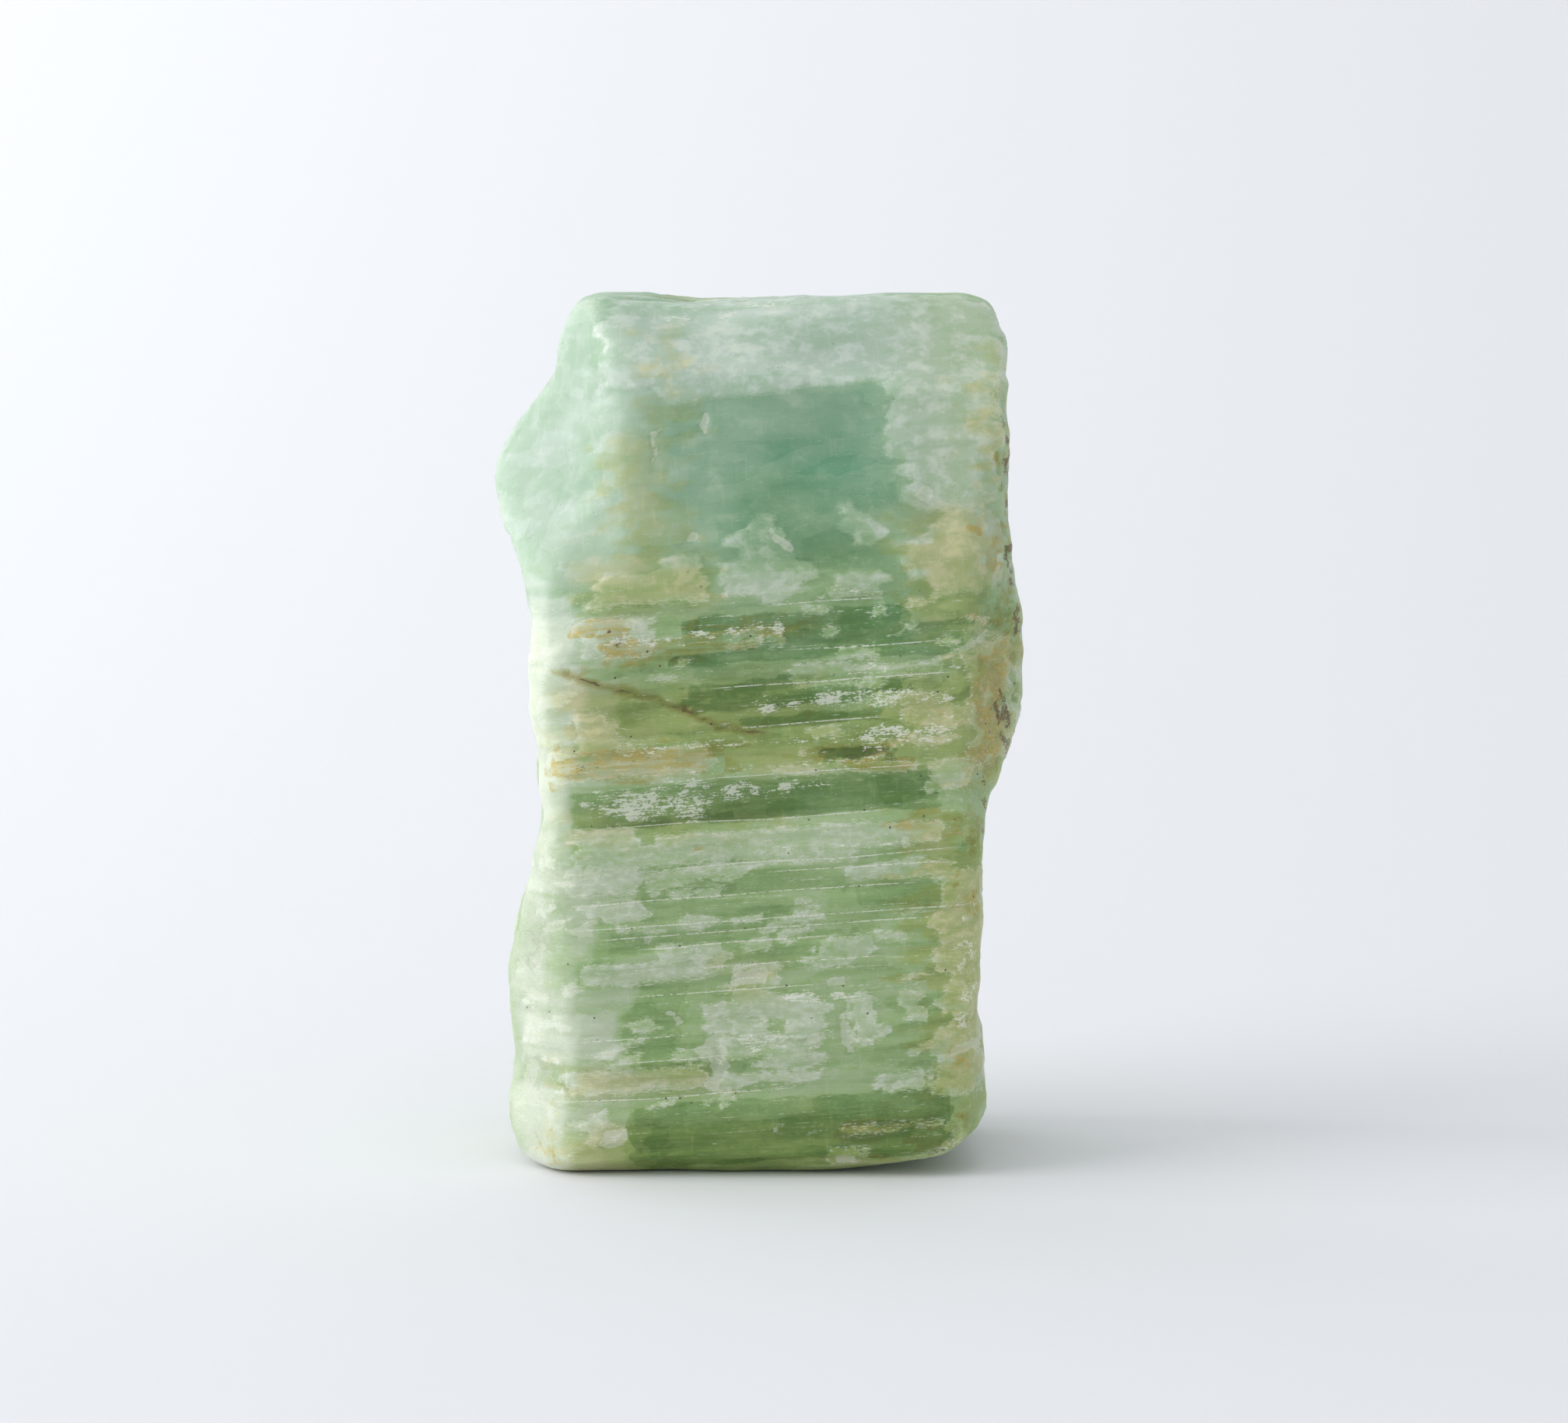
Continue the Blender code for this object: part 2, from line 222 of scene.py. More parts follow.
# Skin bruised to a frost of white crumbs
FROST_MM = (
    ("striations on the left", -4.0, 38.4, 7.0, 0.9),
    ("striations on the right", 8.0, 35.9, 6.6, 0.8),
    ("right of the crack", 6.0, 33.8, 7.4, 1.2),
    ("over the orange band", -2.4, 30.6, 8.6, 0.8),
    ("under the crack", 2.0, 29.2, 9.0, 0.6),
    ("top edge", 0.0, 60.6, 8.0, 0.8),
    ("streak in the window", -1.2, 48.8, 1.6, 0.5),
    ("speckled plate", 6.8, 41.6, 2.2, 1.0),
    ("first streak", -4.6, 39.3, 3.6, 0.5),
    ("second streak", -5.6, 37.6, 3.4, 0.5),
    ("third streak", -1.4, 38.5, 2.6, 0.4),
    ("over the pale block", 7.0, 37.3, 5.0, 0.35),
    ("skin right of the crack", 10.0, 31.4, 4.6, 1.4),
    ("left of the dark band", -7.2, 26.6, 4.4, 1.9),
    ("middle of the dark band", -1.6, 27.1, 4.2, 1.2),
    ("right of the dark band", 3.8, 27.7, 3.6, 0.7),
    ("left end of the dark band", -10.8, 26.6, 1.8, 1.0),
    ("under the dark band", 1.6, 25.2, 5.6, 0.3),
    ("on the shelf", 5.0, 23.4, 6.0, 0.7),
    ("under the long line", 0.6, 17.6, 11.0, 0.5),
    ("on the milky middle", -3.0, 14.9, 4.6, 0.5),
    ("right of the bright block", 4.2, 13.0, 2.6, 1.0),
    ("field of chips", 2.6, 9.8, 5.0, 1.1),
    ("foot of the field", 3.4, 6.9, 5.0, 0.5),
    ("on the foot", 0.0, 4.6, 8.0, 0.2),
    ("left rim", -16.0, 8.0, 0.8, 3.0),
    ("right edge", 14.6, 14.0, 1.2, 6.0),
)

# Iron stain that has crept along the partings; the rows along the right edge are partly painted shade,
# where the right side is darker and beige for less light
RUST_AND_SHADE_MM = (
    ("right silhouette", 17.6, 47.0, 0.7, 4.0),
    ("silhouette at the striations", 18.0, 38.4, 0.7, 4.0),
    ("upper right edge", 16.4, 43.4, 1.0, 2.4),
    ("right bulge", 16.2, 32.4, 1.9, 4.4),
    ("orange spot on the left", -10.8, 38.0, 1.7, 1.5),
    ("orange streak", -2.0, 38.6, 4.0, 0.7),
    ("lower orange streak", -5.6, 37.1, 3.6, 0.7),
    ("orange band", -8.8, 29.3, 6.0, 1.2),
    ("brown patch", 6.8, 29.7, 3.4, 1.0),
    ("olive stain", 12.2, 25.4, 2.6, 0.6),
    ("end of the long line", 13.4, 19.2, 1.2, 0.35),
    ("right edge of the shelf", 15.2, 22.0, 0.7, 3.0),
    ("right edge lower down", 14.8, 10.0, 0.6, 2.0),
    ("tan streak in the foot", 9.0, 3.7, 4.4, 0.4),
    ("right of the foot", 12.2, 1.8, 3.0, 0.6, 10),
    ("left of the foot", -15.0, 1.6, 1.0, 0.4, -20),
)

# Where the same iron only tints the stone yellow
WARM_MM = (
    ("line beside the window", -7.2, 51.6, 0.5, 7.6, 2),
    ("over the striations", -8.6, 41.6, 4.6, 1.6),
    ("left of the window", -9.0, 46.0, 1.6, 6.0),
    ("right of the striations", 13.0, 42.6, 3.4, 4.4),
    ("right end of the ledges", 12.0, 33.0, 4.4, 2.8),
    ("around the crack", -5.0, 32.6, 9.0, 2.4),
    ("across the brown patch", 6.0, 30.6, 9.0, 1.8),
    ("right bulge", 16.0, 33.0, 2.4, 5.6),
    ("above the shelf", -6.6, 25.2, 7.4, 0.7),
    ("right edge", 13.6, 15.0, 3.0, 10.0),
    ("bright block", -0.6, 14.2, 2.4, 0.8),
    ("beige band", -8.6, 6.9, 5.6, 0.8),
    ("foot", 0.0, 2.0, 15.0, 2.4),
    ("top right edge", 16.6, 54.0, 1.2, 5.0),
)

# Brown earth left in the deepest cracks and partings, and painted shade: the rows on the right silhouette
# paint a dark line where the right side lies in shadow
EARTH_AND_SHADE_MM = (
    ("right silhouette", 17.9, 46.0, 0.5, 8.0),
    ("right silhouette lower down", 16.0, 26.0, 0.4, 3.0),
    ("pocket in the orange spot", -9.7, 38.1, 0.4, 0.9),
    ("upper line in it", 6.6, 30.1, 2.6, 0.3),
    ("lower line in it", 7.0, 29.3, 2.2, 0.26),
    ("right bulge", 17.2, 31.8, 0.4, 3.4),
    ("line in the olive stain", 13.0, 25.4, 1.4, 0.2),
    ("end of the long line", 14.0, 19.3, 0.8, 0.2),
    ("lone pit", -12.2, 39.4, 0.16, 0.12),
    ("pit in the bright block", -2.0, 15.1, 0.2, 0.1),
    ("dirt under the milky field", -0.4, 6.5, 0.8, 0.2),
    ("right edge", 14.6, 17.2, 0.3, 0.9),
    ("nest on the right edge", 13.6, 7.8, 0.3, 0.5),
    ("line on the right edge", 14.4, 11.8, 0.7, 0.15),
    ("left corner of the foot", -15.2, 1.6, 0.6, 0.14, -20),
)

# Partings that run across the front along the c-axis. Each row says what it is, then in mm its height at
# the middle, how far the stone steps back above it, and from where to where its white edge shows.
SEAMS_MM = (
    ("over the foot", 6.3, 0.10, -13.6, 1.5),
    ("under the wedge", 8.9, -0.06, -9.0, -3.0),
    ("over the wedge", 10.6, -0.08, -12.0, -5.0),
    ("under the bright block", 13.5, 0.06, -8.0, 4.0),
    ("over the bright block", 15.2, 0.06, -3.0, 8.0),
    ("edge of the milky middle", 16.8, 0.12, -7.2, 4.3),
    ("under the long line", 17.7, 0.05, -10.0, 12.0),
    ("long line", 18.4, -0.16, -12.0, 14.2),
    ("over the long line", 20.2, 0.06, -12.2, 10.5),
    ("second line of the shelf", 21.6, 0.05, 1.8, 12.5),
    ("first line of the shelf", 22.4, 0.08, -5.0, 13.0),
    ("over the shelf", 25.5, 0.25, -9.3, 8.0),
    ("over the dark band", 28.5, -0.22, -6.0, 11.5),
    ("crack's continuation", 32.0, 0.06, -0.5, 8.0),
    ("over the crack", 34.8, 0.08, -2.0, 13.0),
    ("over the pale block", 37.1, 0.08, 3.2, 12.0),
    ("top of the striations", 40.4, 0.12, 2.0, 8.0),
)

# Painted light: upright basal partings, across which the front is painted paler in steps towards the left,
# where the light from the left falls on it and glows through the thin rim. Each row says how far right each
# crosses, from what height to what height, all in mm, and how much paler.
PAINTED_LIGHT_LEFT_MM = (
    ("foot, outer", -13.3, -1.0, 6.4, 0.3),
    ("foot, middle", -10.9, -1.0, 6.4, 0.2),
    ("foot, inner", -9.0, -1.0, 6.4, 0.18),
    ("beige band", -10.4, 6.4, 8.6, 0.15),
    ("beige band, inner", -6.0, 6.4, 8.6, 0.1),
    ("left of the wedge", -9.6, 8.6, 11.8, 0.45),
    ("left of the wedge, outer", -12.6, 8.0, 15.4, 0.25),
    ("over the wedge", -8.7, 11.8, 13.6, 0.2),
    ("under the long line", -11.4, 15.4, 18.4, 0.3),
    ("over the long line, outer", -11.2, 18.4, 20.2, 0.25),
    ("over the long line, inner", -8.0, 18.4, 22.2, 0.2),
    ("shelf", -12.8, 20.2, 25.4, 0.45),
    ("dark band, outer", -13.1, 25.4, 28.6, 0.6),
    ("dark band, inner", -10.2, 25.4, 28.6, 0.15),
    ("orange band", -12.4, 28.6, 32.4, 0.6),
    ("orange band, inner", -3.6, 28.3, 30.2, 0.2),
    ("crack", -12.0, 32.4, 36.4, 0.55),
    ("crack, inner", -9.6, 31.0, 36.4, 0.15),
    ("striations, outer", -12.6, 36.4, 41.0, 0.5),
    ("striations, inner", -7.0, 36.4, 40.0, 0.25),
    ("side of the upper face", -12.0, 41.0, 58.0, 0.04),
    ("band beside the window", -7.4, 42.0, 57.0, 0.12),
    ("left rim", -14.6, -1.0, 42.0, 0.2),
)

# Points of the CAD mesh closer together than this are one point, in mm.
MERGE_MM = 0.005

# How much paler the sides and the back are than the body
SIDE_PALENESS = 0.15

# One open crack, stained brown, that crosses the striations: (right, up) in mm.
CRACK_MM = (
    (-13.6, 35.8),
    (-12.2, 35.2),
    (-9.6, 34.5),
    (-7.0, 33.9),
    (-4.4, 32.9),
    (-2.6, 32.1),
    (0.4, 31.6),
)

# How far plates and shallow marks reach into the stone either way, in mm
PLATE_DEPTH = 3.6
MARK_DEPTH = 1.4

# Each kind of mark: its named rows, how many more are strewn over the faces that the photograph doesn't
# show, the largest half length and half height of those, how far it reaches into the stone, and how uneven
# its broken edge is, in mm.
KINDS = {
    "deep": (DEEP_MM, 12, 5.0, 1.2, PLATE_DEPTH, 0.3),
    "green": (GREEN_MM, 30, 5.0, 1.4, PLATE_DEPTH, 0.3),
    "veil": (VEIL_MM, 60, 4.2, 1.4, PLATE_DEPTH, 0.3),
    "chip": (CHIP_MM, 24, 0.9, 0.5, MARK_DEPTH, 0.2),
    "frost": (FROST_MM, 26, 3.4, 1.0, MARK_DEPTH, 0.5),
    "rust": (RUST_AND_SHADE_MM, 16, 4.0, 1.0, MARK_DEPTH, 1.0),
    "warm": (WARM_MM, 14, 6.0, 2.6, PLATE_DEPTH, 1.0),
    "earth": (EARTH_AND_SHADE_MM, 9, 1.2, 0.2, MARK_DEPTH, 0.25),
}

# Everything that is measured at the mesh's points and read by the material
FIELDS = (*KINDS, "seam", "seam_show", "crack", "crack_show", "pale", "cool", "polished", "edge")

# A strewn plate's most lean in degrees, its least depth in mm, and how near the front it may stand
STREWN_LEAN = 6
STREWN_LEAST_DEPTH = 0.8
STREWN_BEHIND = -3.0

# Small flakes on the front, and as many again on the back: how many, and between what heights in mm
FLAKES = {
    "green": ((26, 6.0, 25.0), (40, 28.5, 41.0)),
    "veil": ((70, 5.0, 24.0), (46, 28.5, 43.0)),
    "chip": ((9, 7.5, 18.0), (1, 29.0, 41.0)),
    "rust": ((8, 29.0, 41.0), (3, 1.0, 24.0)),
}

# Half length, half height and lean of the small flakes, least and most, in mm and degrees
FLAKE_LENGTHS = (0.3, 1.5)
FLAKE_HEIGHTS = (0.1, 0.4)
FLAKE_LEANS = (-25, 10)

# How far an outline that is uneven by 1 mm breaks up: along the c-axis, into the stone, across, across on
# the broken ends, and in steps along the c-axis, all in mm. Then the size of such a step.
BREAK_ALONG = 2.2
BREAK_INTO = 5.0
BREAK_ACROSS = 0.9
BREAK_ON_ENDS = 3.0
BREAK_STEP = 1.6
STEP_MM = (2.6, 3.0, 0.6)

# Noise patterns in the stone: size along the c-axis and across it in mm, octaves and roughness.
PATTERNS_MM = {
    "cloud": (9.0, 4.0, 3.0, 0.5),
    "mottle": (1.6, 0.9, 3.0, 0.55),
    "streak": (9.0, 0.24, 2.0, 0.6),
    "line": (26.0, 0.13, 1.0, 0.5),
    "basal": (0.3, 2.6, 2.0, 0.5),
    "fuzz": (0.9, 0.5, 5.0, 0.7),
    "haze": (1.5, 1.2, 5.0, 0.65),
    "dash": (1.5, 0.6, 3.0, 0.6),
    "fibre": (1.8, 0.14, 2.0, 0.6),
    "crumb": (0.42, 0.12, 4.0, 0.7),
    "grain": (0.2, 0.14, 2.0, 0.6),
}

# Blocks that the partings cut the stone into: size along the c-axis, into the stone and across, in mm, and
# how many times smaller the small ones among them are.
BLOCK_MM = (4.6, 3.6, 1.5)
SMALL_BLOCKS = 2.6

# Size of the cells that hold one pit each, in mm
PIT_CELL_MM = 0.8

# Between these heights in mm the stone turns from green to blue-green, and that fades again to the right.
COOL_UP_MM = (32.0, 50.0)
COOL_RIGHT_MM = (7.0, 15.0)
COOL_LOST = 0.6

# Between these heights in mm the front turns from rough to polished.
POLISHED_UP_MM = (39.5, 43.0)

# The painted light from the left crosses its partings softly above this height and crisply below, all in
# mm.
SOFT_ABOVE = 50.0
SOFT_EDGE = 1.2
CRISP_EDGE = 0.1

# The top edge's low crest in mm: its place, width and height, and between what heights it fades in
CREST_RIGHT = 3.4
CREST_WIDTH = 5.6
CREST_RISE = 0.75
CREST_UP_MM = (57.0, 61.0)

# Relief fades in over this much of the foot, in mm, so that the stone stands flat.
FOOT_FADE = 1.2

# Half the width of the open crack and of the slope of a ledge, in mm
CRACK_WIDTH = 0.2
LEDGE_SLOPE = 0.12

# How much of a ledge is left where its parting has no white edge
HIDDEN_LEDGE = 0.3

# Passes of smoothing that the worn edges are told by
EDGE_PASSES = 19

# A plate's distance where none is near, in mm
FAR_OUTSIDE = -4.0

# Where rows are looked for on the front: from far before it, or else nearest to about its face, in mm.
FAR_BEFORE = -100.0
FRONT = -12.0

# How far apart the noise of two seeds is, in lumps
SEEDS_APART = 7.31


def linear(code):
    """An sRGB hex colour as linear red, green and blue."""
    parts = [int(code[i : i + 2], 16) / 255 for i in (0, 2, 4)]
    return tuple(c / 12.92 if c <= 0.04045 else ((c + 0.055) / 1.055) ** 2.4 for c in parts)


def colour(name, code, description):
    return FloatVectorProperty(
        name=name, description=description, subtype="COLOR", min=0.0, max=1.0, default=linear(code)
    )


def length(name, millimetres, description):
    return FloatProperty(
        name=name,
        description=description,
        default=millimetres * MM,
        min=0.0,
        subtype="DISTANCE",
        unit="LENGTH",
        precision=5,
    )


def power(name, watts, description):
    return FloatProperty(name=name, description=description, default=watts, min=0.0, unit="POWER")


class StoneShape(bpy.types.PropertyGroup):
    """Sizes of the stone's fine relief"""

    spacing: length("Mesh spacing", 0.305, "Distance between the mesh's points")
    rib_depth: length("Rib depth", 0.16, "Depth of the growth striations on the long faces")
    swell_depth: length("Swell", 0.16, "Height of the slow waves that tumbling left")
    fracture_depth: length("Fracture relief", 0.22, "Height of the lumps on the broken ends")
    chip_depth: length("Chip depth", 0.2, "Depth of the bruised chips")
    plate_height: length("Plate height", 0.1, "How far the milky plates stand out")
    crack_depth: length("Crack depth", 0.2, "Depth of the open stained crack")
    wear: IntProperty(
        name="Wear", description="Smoothing passes that round the faceted solid", default=19, min=0
    )
    seed: IntProperty(name="Seed", description="Start of the random draws", default=11)


class StoneColours(bpy.types.PropertyGroup):
    """Colours of the cloudy aquamarine"""

    deep: colour("Deep", "5C8438", "Clear green seen deep into the stone")
    body: colour("Body", "9DB87E", "Cloudy green of the body")
    milk: colour("Milk", "C2CDB4", "Milky green of the plates")
    deep_cool: colour("Deep cool", "6BA07C", "Clear blue-green seen deep in the upper part")
    cool: colour("Cool body", "A0BC9F", "Bluer green of the upper part")
    milk_cool: colour("Cool milk", "C6D3C6", "Milky green of the upper part")
    # Painted glow: the palest stop of the tone, for light from the left shining through the thin rim
    glow: colour("Glow", "DDE3D0", "Palest stone, where light comes through a thin rim")
    frost: colour("Frost", "E6E8DA", "White of bruised chips and worn edges")
    olive: colour("Olive", "FFEEBE", "Stone tinted by a little iron")
    # Iron stain, and partly painted shade along the right edge
    rust: colour("Rust", "ECD592", "Iron stain")
    # Also the painted shade of the dark line along the right silhouette
    earth: colour("Earth", "6B5426", "Brown earth in cracks")
    pore: colour("Pore", "4A4030", "Dirt in pores")


class StudioStage(bpy.types.PropertyGroup):
    """The sweep, the lights and the camera"""

    sweep: colour("Sweep", "EDEEF0", "Pale paper of the sweep")
    air: colour("Air", "F4F7FC", "Colour of the light from all round")
    key_power: power("Key light", 3.1, "Power of the big soft light at the left")
    top_power: power("Top light", 0.9, "Power of the soft light overhead")
    backdrop_power: power("Backdrop light", 1.5, "Power of the light on the paper at the left")
    ambient: FloatProperty(
        name="Ambient", description="Strength of the light from all round", default=0.6, min=0.0
    )
    lens: FloatProperty(name="Lens", description="Focal length in mm", default=105.0, min=1.0)
    distance: length("Camera distance", 331.0, "From the camera to the point it looks at")
    elevation: FloatProperty(
        name="Camera elevation",
        description="Angle above the horizon",
        subtype="ANGLE",
        default=math.radians(6.0),
    )


class AquamarineSettings(bpy.types.PropertyGroup):
    """All that a user would change"""

    shape: PointerProperty(type=StoneShape)
    colours: PointerProperty(type=StoneColours)
    stage: PointerProperty(type=StudioStage)


def to_crystal(points):
    """Points turned so that X runs along the c-axis and Z across the striations."""
    return points @ np.array(Euler((0.0, C_AXIS_RISE, 0.0)).to_matrix()).T


def smoothstep(low, high, values):
    share = np.clip((values - low) / (high - low), 0.0, 1.0)
    return share * share * (3.0 - 2.0 * share)


def from_to(start, end, outside, inside, values):
    """1 from start to end, and 0 beyond them, with slopes that reach that far outside and inside."""
    begun = smoothstep(start - outside, start + inside, values)
    return begun * (1.0 - smoothstep(end - inside, end + outside, values))


def inside_plates(points, plates):
    """How many mm each point lies inside the nearest plate, negative outside all of them."""
    inside = np.full(len(points), FAR_OUTSIDE)
    for centre, halves, lean in plates:
        turn = np.array(Euler((0.0, -math.radians(lean), 0.0)).to_matrix())
        corner = 0.5 * halves.min()
        past = np.abs((points - centre) @ turn.T) - (halves - corner)
        gap = np.linalg.norm(np.maximum(past, 0.0), axis=1) + np.minimum(past.max(axis=1), 0.0) - corner
        inside = np.maximum(inside, -gap)
    return inside


def average_neighbours(values, pairs, passes):
    """Values at the mesh's points, each pass the mean of the points that an edge joins to each."""
    count = np.bincount(pairs.ravel(), minlength=len(values))[:, None]
    for _ in range(passes):
        summed = np.zeros_like(values)
        for axis in range(values.shape[1]):
            summed[:, axis] = np.bincount(pairs[:, 0], values[pairs[:, 1], axis], len(values))
            summed[:, axis] += np.bincount(pairs[:, 1], values[pairs[:, 0], axis], len(values))
        values = summed / count
    return values


def dense_copy(name, source, shape):
    """A fine even mesh over the CAD solid, with its facets worn away."""
    mesh = source.data.copy()
    bm = bmesh.new()
    bm.from_mesh(mesh)
    bmesh.ops.remove_doubles(bm, verts=bm.verts, dist=MERGE_MM * MM)
    bm.to_mesh(mesh)
    bm.free()
    stone = bpy.data.objects.new(name, mesh)
    bpy.context.scene.collection.objects.link(stone)
    even = stone.modifiers.new("even", "REMESH")
    even.mode = "VOXEL"
    even.voxel_size = shape.spacing
    wear = stone.modifiers.new("wear", "SMOOTH")
    wear.factor = 0.5
    wear.iterations = shape.wear
    graph = bpy.context.evaluated_depsgraph_get()
    stone.data = bpy.data.meshes.new_from_object(stone.evaluated_get(graph))
    stone.modifiers.clear()
    bpy.data.meshes.remove(mesh)
    stone.data.name = name
    stone.data.shade_smooth()
    return stone


class StoneSurface:
    """The stone's points in mm, in its own and in the crystal's axes, and what lies on them."""

    def __init__(self, stone, shape):
        self.mesh = stone.data
        self.shape = shape
        self.rows = self.read("vertices", "co", 3, np.float32) / MM
        self.normals = self.read("vertex_normals", "vector", 3, np.float32)
        self.pairs = self.read("edges", "vertices", 2, np.int32)
        self.points = to_crystal(self.rows)
        self.tree = BVHTree.FromObject(stone, bpy.context.evaluated_depsgraph_get())
        self.rng = random.Random(shape.seed)
        self.back_rng = random.Random(shape.seed + 1)
        self.front = smoothstep(0.25, 0.6, -self.normals[:, 1])
        self.back = smoothstep(0.25, 0.6, self.normals[:, 1])
        self.ends = to_crystal(self.normals)[:, 0] ** 2
        self.fields = {}

    def read(self, rows, name, width, kind):
        """One kind of the mesh's values, with a row for each of its points or edges."""
        rows = getattr(self.mesh, rows)
        values = np.zeros(len(rows) * width, kind)
        rows.foreach_get(name, values)
        values = values.reshape(-1, width)
        return values if kind is np.int32 else values.astype(float)

    def lumps(self, size, seed, stretch=1.0, octaves=2):
        """Smooth noise about 0 with lumps of that size in mm, drawn out along the c-axis."""
        spots = self.points / (size * np.array((stretch, 1.0, 1.0))) + seed * SEEDS_APART
        return np.array([noise.fractal(spot, 1.0, 2.0, octaves) for spot in spots.tolist()])

    def on_front(self, right, up):
        """The point of the front surface at this place, in the crystal's axes."""
        start = Vector((right, FAR_BEFORE, up)) * MM
        hit = self.tree.ray_cast(start, Vector((0.0, 1.0, 0.0)))[0]
        if hit is None:
            hit = self.tree.find_nearest(Vector((right, FRONT, up)) * MM)[0]
        return to_crystal(np.array(hit) / MM)

    def front_plates(self, rows, depth):
        """Plates from the named rows: middle, half sizes and lean."""
        return [
            (self.on_front(right, up), np.array((half_length, depth, half_height)), sum(lean))
            for _, right, up, half_length, half_height, *lean in rows
        ]

    def strewn_plates(self, amount, longest, highest):
        """Plates over the sides, the back and the top, where no photograph guides them."""
        plates = []
        while len(plates) < amount:
            spot = self.rng.randrange(len(self.points))
            share = 0.35 + 0.65 * self.rng.random()
            height = highest * (0.4 + 0.6 * self.rng.random())
            lean = self.rng.uniform(-STREWN_LEAN, STREWN_LEAN)
            if self.front[spot] < 0.2 and self.rows[spot, 1] > STREWN_BEHIND:
                halves = np.array((longest * share, max(height * 1.5, STREWN_LEAST_DEPTH), height))
                plates.append((self.points[spot], halves, lean))
        return plates

    def small_plates(self, rng, face, amount, low, high):
        """Small flakes on the front or the back between two heights: the stone has too many to name."""
        spots = np.flatnonzero((face > 0.8) & (self.rows[:, 2] > low) & (self.rows[:, 2] < high))
        plates = []
        for spot in rng.sample(spots.tolist(), amount):
            halves = np.array((rng.uniform(*FLAKE_LENGTHS), PLATE_DEPTH, rng.uniform(*FLAKE_HEIGHTS)))
            plates.append((self.points[spot], halves, rng.uniform(*FLAKE_LEANS)))
        return plates

    def broken_up(self, amount, seed):
        """The points moved a little, by noise and in steps, so that plates break off unevenly."""
        moved = self.points.copy()
        into = BREAK_INTO * (1.0 - self.front)
        on_ends = BREAK_ON_ENDS * self.ends
        moved[:, 0] += amount * BREAK_ALONG * self.lumps(1.3, seed, stretch=1.5)
        moved[:, 1] += amount * into * self.lumps(1.7, seed + 2, octaves=3)
        moved[:, 2] += amount * BREAK_ACROSS * self.lumps(1.1, seed + 1, stretch=2.5)
        moved[:, 2] += amount * on_ends * self.lumps(1.5, seed + 3, octaves=3)
        steps = self.points / np.array(STEP_MM) + seed
        jumps = np.array([noise.cell(step) for step in steps.tolist()]) - 0.5
        moved[:, 0] += amount * BREAK_STEP * jumps
        return moved

    def measure(self):
        """Fills the fields that the material reads and the relief follows."""
        for number, (name, kind) in enumerate(KINDS.items()):
            rows, amount, longest, highest, depth, ragged = kind
            plates = self.front_plates(rows, depth) + self.strewn_plates(amount, longest, highest)
            for flakes in FLAKES.get(name, ()):
                plates += self.small_plates(self.rng, self.front, *flakes)
                plates += self.small_plates(self.back_rng, self.back, *flakes)
            self.fields[name] = inside_plates(self.broken_up(ragged, 5 * number + 1), plates)
        self.measure_seams()
        self.measure_light_and_paleness()
        self.measure_crack()
        right, up = self.rows[:, 0], self.rows[:, 2]
        cool = smoothstep(*COOL_UP_MM, up + 6.0 * self.lumps(12.0, 3))
        self.fields["cool"] = cool * (1.0 - COOL_LOST * smoothstep(*COOL_RIGHT_MM, right))
        polished = smoothstep(*POLISHED_UP_MM, up + 0.8 * self.lumps(4.0, 9))
        self.fields["polished"] = polished * self.front
        around = average_neighbours(self.rows, self.pairs, EDGE_PASSES)
        self.fields["edge"] = ((self.rows - around) * self.normals).sum(axis=1)

    def measure_seams(self):
        """Signed mm from the nearest parting, how plainly its white edge shows, and the ledges."""
        sign = np.ones(len(self.points))
        nearest = np.full(len(self.points), 9.0)
        show = np.zeros(len(self.points))
        step = np.zeros(len(self.points))
        right = self.rows[:, 0]
        waves = [0.12 * self.lumps(5.0, seed, stretch=2.0) for seed in (40, 41, 42)]
        for number, (_, height, step_back, start, end) in enumerate(SEAMS_MM):
            middle = to_crystal(np.array((0.0, 0.0, height)))[2]
            above = self.points[:, 2] - middle + waves[number % len(waves)]
            sign = np.where(above > 0.0, -sign, sign)
            shown = from_to(start, end, 1.5, 0.5, right)
            show = np.where(np.abs(above) < nearest, shown, show)
            nearest = np.minimum(nearest, np.abs(above))
            depth = HIDDEN_LEDGE + (1.0 - HIDDEN_LEDGE) * shown
            step -= step_back * smoothstep(-LEDGE_SLOPE, LEDGE_SLOPE, above) * depth
        self.fields["seam"] = sign * nearest
        patchy = smoothstep(-0.1, 0.2, self.lumps(7.0, 55, stretch=2.0))
        self.fields["seam_show"] = show * self.front + patchy * self.back
        self.step = step * (self.front + self.back)

    def measure_light_and_paleness(self):
        """How much paler the stone is than its body: painted light from the left, in steps towards the
        left, across basal partings.
        """
        pale = np.zeros(len(self.points))
        across = self.points[:, 2]
        wander = 0.5 * self.lumps(2.4, 61, stretch=0.7) + 0.12 * self.lumps(0.7, 62)
        for _, right, low, high, amount in PAINTED_LIGHT_LEFT_MM:
            edge, bottom = to_crystal(np.array((right, 0.0, low)))[[0, 2]]
            top = to_crystal(np.array((right, 0.0, high)))[2]
            lean = edge + (across - bottom) * math.tan(C_AXIS_RISE)
            level = from_to(bottom, top, CRISP_EDGE, CRISP_EDGE, across)
            soft = SOFT_EDGE if high > SOFT_ABOVE else CRISP_EDGE + 0.8 * amount
            beside = 1.0 - smoothstep(-soft, soft, self.points[:, 0] - lean + wander)
            pale += amount * level * beside
        side = smoothstep(0.5, 0.9, self.ends) * smoothstep(-11.0, -5.0, self.rows[:, 1])
        side = np.maximum(side, self.back)
        self.fields["pale"] = pale * (1.0 - side) + SIDE_PALENESS * side

